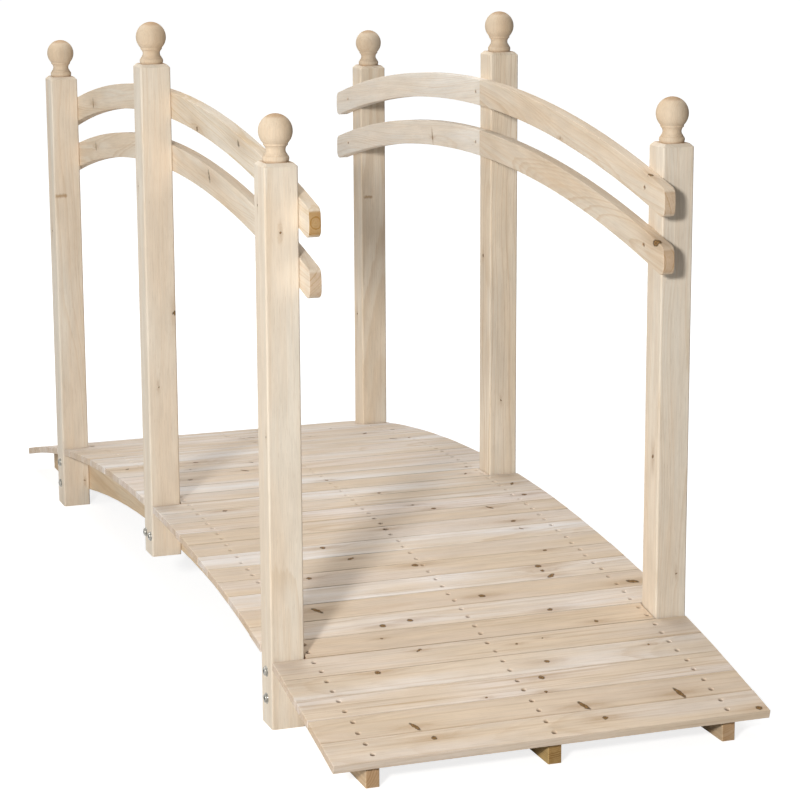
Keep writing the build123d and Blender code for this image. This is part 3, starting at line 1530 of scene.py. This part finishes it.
@dataclass
class Posts:
    """The six square posts with their bolts, washers and nuts."""

    steel: bpy.types.Material
    end_bolt_levels: tuple[float, float] = (0.041, 0.082)
    middle_bolt_level: float = 0.113
    middle_bolt_reach: float = 0.015
    head_radius: float = 0.0064
    head_height: float = 0.0030
    head_ease: float = 0.0013
    head_sides: int = 24
    socket_radius: float = 0.0029
    socket_depth: float = 0.0019
    nut_radius: float = 0.0066
    nut_height: float = 0.0050
    nut_ease: float = 0.0008
    hexagon: int = 6
    washer_radius: float = 0.0080
    washer_height: float = 0.0011
    washer_ease: float = 0.0004
    washer_sides: int = 28
    shank_radius: float = 0.0040
    shank_end: float = 0.0095
    shank_ease: float = 0.0006
    shank_sides: int = 16
    rim_steps: int = 2
    first_twist: float = 0.35
    bolt_twist: float = 0.6
    station_twist: float = 0.9
    stringer_thickness: float = 0.020
    first_seed: float = 11.0
    seed_step: float = 1.7
    finish: WoodFinish = WoodFinish(
        "post_softwood",
        early=srgb(236, 225, 209),
        warm=srgb(231, 213, 191),
        late=srgb(212, 186, 153),
        ring_width=2.7,
        ring_strength=0.30,
        streak_strength=0.14,
    )
    lined_finish: WoodFinish = WoodFinish(
        "lined_post_softwood",
        early=srgb(241, 229, 212),
        warm=srgb(235, 216, 191),
        late=srgb(202, 170, 130),
        ring_width=4.0,
        ring_strength=0.34,
        streak_strength=0.18,
    )
    lined: tuple[str, ...] = ("post_right_far", "post_right_middle")
    cuts: tuple[Cut, ...] = (
        Cut.QUARTER, Cut.RIFT, Cut.QUARTER_OFF,
        Cut.RIFT, Cut.FLAT_OFF, Cut.QUARTER,
    )
    knots: dict[str, tuple[Knot, ...]] = field(
        default_factory=lambda: {
            "post_left_near": (
                Knot(314, -25, 2, 1.8),
                Knot(349, 8, 25, 1.6),
                Knot(23, -16, 25, 1.6),
            ),
            "post_left_middle": (
                Knot(-120, -25, 8, 1.4),
                Knot(210, 10, 25, 1.8),
                Knot(2, -25, -23, 4.0),
            ),
            "post_left_far": (
                Knot(-362, -25, -16, 1.7),
                Knot(120, 4, 25, 2.0),
                Knot(189, -25, 12, 4.6, run=8.0),
            ),
            "post_right_near": (
                Knot(388, 9, -25, 1.6),
                Knot(-60, -6, 25, 3.0),
                Knot(-240, -25, -8, 1.4),
            ),
            "post_right_middle": (Knot(60, 8, 25, 2.4), Knot(-190, -25, 4, 1.6)),
            # The first mark is a short soft brown bar across the left part of the near face.
            "post_right_far": (Knot(156, -25, 11, 4.2, run=6.0), Knot(-80, 6, 25, 2.2)),
        }
    )

    def build(self) -> None:
        """Dress every post and bolt it to its stringer."""
        for number, (node, side, end) in enumerate(stations("post")):
            frame = GrainFrame.through(
                node,
                UP,
                ALONG,
                cut=self.cuts[number],
                seed=self.first_seed + self.seed_step * number,
                knots=self.knots[node],
            )
            finish = self.lined_finish if node in self.lined else self.finish
            Bench.dress(node, finish.framed(node, frame), Slot.POST)
            self._bolts(node, side, end)

    def _bolts(self, node: str, side: Side, end: End) -> None:
        """Set a post's two bolts.

        Args:
            node: The post's name.
            side: The post's side.
            end: The post's station.
        """
        low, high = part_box(node)
        middle = (low.y + high.y) / 2
        outer, inner = (low.x, high.x) if side is Side.LEFT else (high.x, low.x)
        inner -= side.value * self.stringer_thickness
        if end is End.MIDDLE:
            reach = self.middle_bolt_reach
            spots = [(middle + sign * reach, self.middle_bolt_level) for sign in (-1, 1)]
        else:
            spots = [(middle, level) for level in self.end_bolt_levels]
        outward = Matrix.Rotation(side.value * QUARTER_TURN, 4, "Y")
        inward = Matrix.Rotation(-side.value * QUARTER_TURN, 4, "Y")
        work = bmesh.new()
        for number, (y, z) in enumerate(spots):
            angle = self.first_twist + self.bolt_twist * number + self.station_twist * end.value
            twist = Matrix.Rotation(angle, 4, "Z")
            self._head(work, Matrix.Translation((outer, y, z)) @ outward @ twist)
            self._nut(work, Matrix.Translation((inner, y, z)) @ inward @ twist)
        Bench.smooth(work)
        Bench.piece(f"bolts_{node}", work, self.steel, Slot.STEEL)

    def _turned(self, sides: int, radius: float, height: float, ease: float) -> bmesh.types.BMesh:
        """Make a round or six-sided bar that stands at the origin, its top rim eased.

        Args:
            sides: How many sides it has.
            radius: Its radius to the corners.
            height: Its height.
            ease: Width of the rim's rounding.

        Returns:
            The bar's mesh.
        """
        bar = bmesh.new()
        Bench.bar(bar, sides, (radius, radius), height, Matrix.Translation((0, 0, height / 2)))
        rim = [edge for edge in bar.edges if min(vert.co.z for vert in edge.verts) > height / 2]
        Bench.ease(bar, rim, ease, self.rim_steps)
        return bar

    @staticmethod
    def _set(
        work: bmesh.types.BMesh, part: bmesh.types.BMesh, place: Matrix, lift: float = 0.0
    ) -> None:
        """Set a part on the wood.

        Args:
            work: The mesh that it goes into.
            part: The part, which is used up.
            place: Where the bolt meets the wood, standing along Z.
            lift: How far above the wood the part stands.
        """
        part.transform(place @ Matrix.Translation((0, 0, lift)))
        Bench.absorb(work, part)

    def _washer(self) -> bmesh.types.BMesh:
        """Make a washer.

        Returns:
            The washer's mesh, standing at the origin.
        """
        return self._turned(
            self.washer_sides, self.washer_radius, self.washer_height, self.washer_ease
        )

    def _head(self, work: bmesh.types.BMesh, place: Matrix) -> None:
        """Add a low round head with a six-sided socket, on its washer.

        Args:
            work: The mesh that it goes into.
            place: Where the bolt meets the wood, standing along Z.
        """
        self._set(work, self._washer(), place)
        socket = bmesh.new()
        radii = (self.socket_radius, self.socket_radius)
        top = Matrix.Translation((0, 0, self.head_height))
        Bench.bar(socket, self.hexagon, radii, 2 * self.socket_depth, top)
        head = self._turned(self.head_sides, self.head_radius, self.head_height, self.head_ease)
        self._set(work, Bench.carve(head, socket), place, self.washer_height)

    def _nut(self, work: bmesh.types.BMesh, place: Matrix) -> None:
        """Add a nut on its washer with the bolt's end showing.

        Args:
            work: The mesh that it goes into.
            place: Where the bolt leaves the wood, standing along Z.
        """
        self._set(work, self._washer(), place)
        nut = self._turned(self.hexagon, self.nut_radius, self.nut_height, self.nut_ease)
        self._set(work, nut, place, self.washer_height)
        shank = self._turned(self.shank_sides, self.shank_radius, self.shank_end, self.shank_ease)
        self._set(work, shank, place)


@dataclass
class Finials:
    """The turned ball finials, each with a crisp bead between ball and neck."""

    bead_level: float = 0.0238
    bead_reach: float = 0.0163
    bead_section: float = 0.0013
    bead_sides: int = 8
    bead_steps: int = 40
    turn_step: float = 0.8
    first_seed: float = 41.0
    seed_step: float = 2.3
    finish: WoodFinish = WoodFinish(
        "finial_softwood",
        early=srgb(225, 206, 182),
        warm=srgb(219, 193, 162),
        late=srgb(206, 174, 136),
        ring_width=2.4,
        ring_strength=0.26,
        streak_strength=0.16,
    )
    cuts: tuple[Cut, ...] = (
        Cut.RIFT, Cut.QUARTER, Cut.FLAT_OFF,
        Cut.QUARTER, Cut.RIFT, Cut.QUARTER_OFF,
    )

    def build(self) -> None:
        """Dress every finial, each turned from its own blank, and add its bead."""
        for number, (node, _, _) in enumerate(stations("finial")):
            frame = GrainFrame.through(
                node,
                UP,
                Matrix.Rotation(self.turn_step * number, 3, "Z") @ ACROSS,
                cut=self.cuts[number],
                seed=self.first_seed + self.seed_step * number,
            )
            material = self.finish.framed(node, frame)
            Bench.dress(node, material, Slot.FINIAL)
            self._bead(node, material)

    def _bead(self, node: str, material: bpy.types.Material) -> None:
        """Turn the bead of one finial.

        Args:
            node: The finial's name.
            material: The finial's finish.
        """
        low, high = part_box(node)
        centre = (low + high) / 2
        centre.z = low.z + self.bead_level
        start = Matrix.Translation(centre + self.bead_reach * ACROSS)
        upright = Matrix.Rotation(QUARTER_TURN, 4, "X")
        work = bmesh.new()
        bmesh.ops.create_circle(
            work, segments=self.bead_sides, radius=self.bead_section, matrix=start @ upright
        )
        bmesh.ops.spin(
            work,
            geom=work.verts[:] + work.edges[:],
            cent=centre,
            axis=UP,
            angle=math.tau,
            steps=self.bead_steps,
            use_merge=True,
        )
        bmesh.ops.remove_doubles(work, verts=work.verts, dist=WELD)
        bmesh.ops.recalc_face_normals(work, faces=work.faces)
        Bench.smooth(work)
        Bench.piece(f"bead_{node}", work, material, Slot.FINIAL)


@dataclass
class Stringers:
    """The three arched beams under the planks."""

    first_seed: float = 71.0
    seed_step: float = 3.1
    finish: WoodFinish = WoodFinish(
        "stringer_softwood",
        early=srgb(222, 202, 174),
        warm=srgb(212, 184, 149),
        late=srgb(190, 155, 114),
        ring_width=3.4,
        ring_strength=0.42,
        streak_strength=0.28,
    )
    figured_finish: WoodFinish = WoodFinish(
        "figured_stringer_softwood",
        early=srgb(214, 186, 132),
        warm=srgb(200, 166, 108),
        late=srgb(150, 112, 62),
        ring_width=2.6,
        ring_strength=0.50,
        streak_strength=0.34,
    )
    figured: tuple[str, ...] = ("stringer_middle",)
    cuts: tuple[Cut, ...] = (Cut.FLAT_OFF, Cut.BOXED, Cut.FLAT)
    knots: dict[str, tuple[Knot, ...]] = field(
        default_factory=lambda: {
            "stringer_left": (
                Knot(-500, 10, -10, 6.0),
                Knot(300, 30, -10, 4.0),
                Knot(760, -30, -10, 5.0),
            ),
            "stringer_middle": (
                Knot(-930, -40, -6, 8.0),
                Knot(120, 30, 10, 5.0),
                Knot(520, 0, -10, 4.0),
            ),
            "stringer_right": (
                Knot(-420, 20, 10, 5.0),
                Knot(80, 34, -10, 4.0),
                Knot(640, 4, 10, 6.0),
            ),
        }
    )

    def build(self) -> None:
        """Dress every stringer with its grain along the bridge."""
        for number, (node, knots) in enumerate(self.knots.items()):
            frame = GrainFrame.through(
                node,
                ALONG,
                UP,
                cut=self.cuts[number],
                seed=self.first_seed + self.seed_step * number,
                knots=knots,
            )
            finish = self.figured_finish if node in self.figured else self.finish
            Bench.dress(node, finish.framed(node, frame), Slot.STRINGER)


@dataclass
class Rails:
    """The curved hand rails with their sunk screws."""

    steel: bpy.types.Material
    radius: float = 3.055
    height: float = 0.043
    post_y: float = 0.6793
    screw_head: float = 0.0024
    screw_height: float = 0.0009
    screw_sides: int = 16
    drive_length: float = 1.3
    drive_width: float = 0.28
    drive_turn: float = 0.4
    first_seed: float = 101.0
    seed_step: float = 2.9
    hole: SunkHole = SunkHole(mouth=0.0040, floor=0.0026, depth=0.0030)
    finish: WoodFinish = WoodFinish(
        "rail_softwood",
        early=srgb(233, 220, 202),
        warm=srgb(226, 204, 177),
        late=srgb(207, 176, 139),
        ring_width=3.4,
        ring_strength=0.44,
        streak_strength=0.28,
    )
    pale_finish: WoodFinish = WoodFinish(
        "pale_rail_softwood",
        early=srgb(247, 239, 228),
        warm=srgb(241, 226, 207),
        late=srgb(220, 194, 162),
        ring_width=3.4,
        ring_strength=0.30,
        streak_strength=0.22,
    )
    dark_end_finish: WoodFinish = WoodFinish(
        "dark_end_rail_softwood",
        early=srgb(233, 220, 202),
        warm=srgb(226, 204, 177),
        late=srgb(207, 176, 126),
        ring_width=3.4,
        ring_strength=0.44,
        streak_strength=0.28,
        end_share=1.9,
    )
    pale: tuple[str, ...] = ("rail_upper_right_far", "rail_lower_right_far")
    dark_ended: tuple[str, ...] = ("rail_upper_left_near",)
    cuts: tuple[Cut, ...] = (
        Cut.BOXED, Cut.RIFT, Cut.FLAT_OFF, Cut.QUARTER,
        Cut.RIFT, Cut.FLAT, Cut.FLAT, Cut.FLAT_OFF,
    )
    tapers: tuple[float, ...] = (0.008, 0.030, -0.030, 0.012, -0.040, 0.050, 0.075, -0.045)
    knots: dict[str, tuple[Knot, ...]] = field(
        default_factory=lambda: {
            "rail_lower_right_far": (
                Knot(-158, 14, -9, 6.0, 0.95, run=0.6),
                Knot(-158, 12, -9, 1.6, 0.95),
            ),
            "rail_lower_right_near": (Knot(-338, 21, -8, 6.5, -0.3), Knot(120, -6, -9, 2.4)),
            "rail_upper_right_near": (Knot(-305, 27, -5, 4.0, 0.3), Knot(20, 4, -9, 1.8)),
            "rail_upper_right_far": (Knot(90, -4, -9, 2.0),),
            "rail_upper_left_near": (Knot(207, -1, -11, 4.5), Knot(-20, 30, -16, 7.4, 0.3)),
            "rail_lower_left_near": (Knot(145, 25, -16, 7.4, 0.6),),
            "rail_upper_left_far": (Knot(165, 16, -9, 3.0, 0.95),),
            "rail_lower_left_far": (Knot(152, 22, -9, 2.6, 0.95),),
        }
    )

    def build(self) -> None:
        """Make every rail half with its screw holes and set the screws."""
        halves = [
            (node, side, end)
            for level in ("upper", "lower")
            for node, side, end in stations(f"rail_{level}")
            if end is not End.MIDDLE
        ]
        for number, (node, side, end) in enumerate(halves):
            low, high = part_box(node)
            fall = math.asin((low.y + high.y) / 2 / self.radius)
            frame = GrainFrame.through(
                node,
                Vector((0, math.cos(fall), -math.sin(fall))),
                UP,
                cut=self.cuts[number],
                seed=self.first_seed + self.seed_step * number,
                knots=self.knots[node],
                taper=self.tapers[number],
            )
            self._half(node, side, end, self._finish(node).framed(node, frame))

    def _finish(self, node: str) -> WoodFinish:
        """Choose the finish of one rail half.

        Args:
            node: The rail half's name.

        Returns:
            Its finish.
        """
        if node in self.pale:
            return self.pale_finish
        return self.dark_end_finish if node in self.dark_ended else self.finish

    def _half(self, node: str, side: Side, end: End, material: bpy.types.Material) -> None:
        """Make one rail half.

        Args:
            node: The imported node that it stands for.
            side: Its side.
            end: Its end.
            material: Its finish.
        """
        cutter, screws, places = bmesh.new(), bmesh.new(), self._screw_places(node, side, end)
        for place in places:
            self.hole.cutter(cutter, place)
            self._screw(screws, place @ Matrix.Translation((0, 0, -self.hole.depth)))
        bored = Bench.carve(Bench.bare_copy(node), cutter)
        sunk_layer = bored.verts.layers.float.new(SunkHole.LAYER)
        for vert in bored.verts:
            vert[sunk_layer] = max(self.hole.sunk(place.inverted() @ vert.co) for place in places)
        Bench.smooth(bored, ACROSS)
        made = Bench.piece(f"bored_{node}", bored, material, Slot.RAIL)
        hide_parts(node)
        Bench.piece(f"screws_{node}", screws, self.steel, Slot.STEEL)

    def _screw_places(self, node: str, side: Side, end: End) -> list[Matrix]:
        """Find a rail half's screws: one at its end post and, on a far half, one at the middle.

        Args:
            node: The rail half's name.
            side: Its side.
            end: Its end.

        Returns:
            Centres of the holes' mouths, which open along Z.
        """
        low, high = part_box(node)
        face = high.x if side is Side.LEFT else low.x
        far_half = node.replace(End.NEAR.label, End.FAR.label)
        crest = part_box(far_half)[1].z
        inward = Matrix.Rotation(-side.value * QUARTER_TURN, 4, "Y")
        middle_radius = self.radius - self.height / 2
        places = []
        for y in [end.value * self.post_y] + ([0.0] if end is End.FAR else []):
            z = crest - self.radius + math.sqrt(middle_radius**2 - y**2)
            places.append(Matrix.Translation((face, y, z)) @ inward)
        return places

    def _screw(self, work: bmesh.types.BMesh, place: Matrix) -> None:
        """Add a sunk screw head with a crossed drive.

        Args:
            work: The mesh that it goes into.
            place: Centre of the hole's floor, opening along its Z.
        """
        radius, depth = self.screw_head, self.screw_height
        head = bmesh.new()
        lift = Matrix.Translation((0, 0, depth / 2))
        Bench.bar(head, self.screw_sides, (radius, radius), depth, lift)
        top = Matrix.Translation((0, 0, depth))
        size = Matrix.Diagonal((self.drive_length * radius, self.drive_width * radius, depth, 1))
        for turn in (0.0, QUARTER_TURN):
            spin = Matrix.Rotation(turn + self.drive_turn, 4, "Z")
            slot = bmesh.new()
            bmesh.ops.create_cube(slot, size=1.0, matrix=top @ spin @ size)
            head = Bench.carve(head, slot)
        head.transform(place)
        Bench.absorb(work, head)


@dataclass(frozen=True)
class Lamp:
    """A soft round lamp: its place, width, power in watts and colour."""

    name: str
    place: tuple[float, float, float]
    size: float
    power: float
    tint: tuple[float, float, float]

    def hang(self, aim: Vector) -> None:
        """Hang the lamp and aim it.

        Args:
            aim: The spot that it looks at.
        """
        lamp = bpy.data.lights.new(self.name, "AREA")
        lamp.shape = "DISK"
        lamp.size = self.size
        lamp.energy = self.power
        lamp.color = self.tint
        hung = bpy.data.objects.new(self.name, lamp)
        hung.location = self.place
        hung.rotation_euler = (aim - Vector(self.place)).to_track_quat("-Z", "Y").to_euler()
        bpy.context.scene.collection.objects.link(hung)


@dataclass
class Studio:
    """Pale floor, soft light and the camera."""

    camera_place: tuple[float, float, float] = (-1.3667, -4.1591, 1.2783)
    camera_yaw: float = math.radians(19.692)
    camera_pitch: float = math.radians(12.384)
    camera_roll: float = math.radians(-0.251)
    focal_pixels: float = 2628.75
    image_pixels: float = 800.0
    sensor: float = 36.0
    view_reach: float = 200.0
    floor_reach: float = 60.0
    paper: Colour = (0.50, 0.50, 0.50, 1.0)
    glow: Ease = Ease(1.0, 3.0, 0.80, 0.97)
    sky: Colour = (1.0, 0.985, 0.96, 1.0)
    sky_strength: float = 0.12
    aim_level: float = 0.35
    lamps: tuple[Lamp, ...] = (
        Lamp("key_lamp", (-2.56, -3.9, 1.9), 0.55, 145.0, (1.0, 0.985, 0.955)),
        Lamp("side_lamp", (-8.0, -0.5, 2.4), 4.0, 172.0, (0.92, 0.965, 1.0)),
        Lamp("top_lamp", (0.1, 1.8, 5.0), 4.0, 164.0, (0.98, 0.99, 1.0)),
    )

    def build(self) -> None:
        """Set up the floor, the light and the camera."""
        scene = bpy.context.scene
        scene.view_settings.view_transform = "Standard"
        self._floor()
        self._world(scene)
        for lamp in self.lamps:
            lamp.hang(self.aim_level * UP)
        self._camera(scene)

    @staticmethod
    def _seen(graph: Graph) -> Socket:
        """Mask the rays that show the background, straight or in a shiny piece.

        Args:
            graph: The shader's nodes.

        Returns:
            The mask's socket.
        """
        rays = graph.add("ShaderNodeLightPath").outputs
        kinds = ("Is Camera Ray", "Is Glossy Ray", "Is Transmission Ray")
        return graph.total("MAXIMUM", *(rays[kind] for kind in kinds))

    def _paper(self) -> bpy.types.Material:
        """Make the floor's paper, which glows towards white away from the bridge.

        Returns:
            The finished material.
        """
        material, graph = blank_material("studio_floor", self.paper)
        paper = graph.add("ShaderNodeBsdfDiffuse", {"Color": self.paper}).outputs[0]
        reach = graph.vector("LENGTH", graph.add("ShaderNodeTexCoord").outputs["Object"])
        light: Feeds = {"Color": WHITE, "Strength": graph.ramp(reach, self.glow)}
        glow = graph.add("ShaderNodeEmission", light).outputs[0]
        both = graph.add("ShaderNodeAddShader", {0: paper, 1: glow}).outputs[0]
        graph.output(graph.add("ShaderNodeMixShader", {0: self._seen(graph), 1: paper, 2: both}))
        return material

    def _floor(self) -> None:
        """Lay the pale floor."""
        work = bmesh.new()
        bmesh.ops.create_grid(work, x_segments=1, y_segments=1, size=self.floor_reach)
        mesh = bpy.data.meshes.new("studio_floor")
        work.to_mesh(mesh)
        work.free()
        mesh.materials.append(self._paper())
        floor = bpy.data.objects.new("studio_floor", mesh)
        bpy.context.scene.collection.objects.link(floor)

    def _world(self, scene: bpy.types.Scene) -> None:
        """Fill the studio with even light.

        Args:
            scene: The scene that it lights.
        """
        world = bpy.data.worlds.new("studio")
        world.use_nodes = True
        world.node_tree.nodes.clear()
        graph = Graph(world.node_tree)
        light: Feeds = {"Color": self.sky, "Strength": self.sky_strength}
        sky = graph.add("ShaderNodeBackground", light).outputs[0]
        white = graph.add("ShaderNodeBackground", {"Color": WHITE, "Strength": 1.0}).outputs[0]
        mixed = graph.add("ShaderNodeMixShader", {0: self._seen(graph), 1: sky, 2: white})
        graph.output(mixed, "ShaderNodeOutputWorld")
        scene.world = world

    def _camera(self, scene: bpy.types.Scene) -> None:
        """Set the camera where the photograph was taken from.

        Args:
            scene: The scene that it shows.
        """
        lens = bpy.data.cameras.new("photo_camera")
        lens.sensor_fit = "HORIZONTAL"
        lens.sensor_width = self.sensor
        lens.lens = self.sensor * self.focal_pixels / self.image_pixels
        lens.clip_end = self.view_reach
        camera = bpy.data.objects.new("photo_camera", lens)
        heading = Matrix.Rotation(-self.camera_yaw, 4, "Z")
        tilt = Matrix.Rotation(QUARTER_TURN - self.camera_pitch, 4, "X")
        roll = Matrix.Rotation(self.camera_roll, 4, "Z")
        camera.matrix_world = Matrix.Translation(self.camera_place) @ heading @ tilt @ roll
        scene.collection.objects.link(camera)
        scene.camera = camera


def main() -> None:
    """Build the bridge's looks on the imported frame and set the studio."""
    logging.basicConfig(level=logging.INFO, format="%(name)s %(message)s")
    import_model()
    steel = BRIGHT_ZINC.material()
    gilt = YELLOW_ZINC.material()
    Deck(gilt).build()
    Stringers().build()
    Posts(steel).build()
    Finials().build()
    Rails(gilt).build()
    Studio().build()


if __name__ == "__main__":
    main()
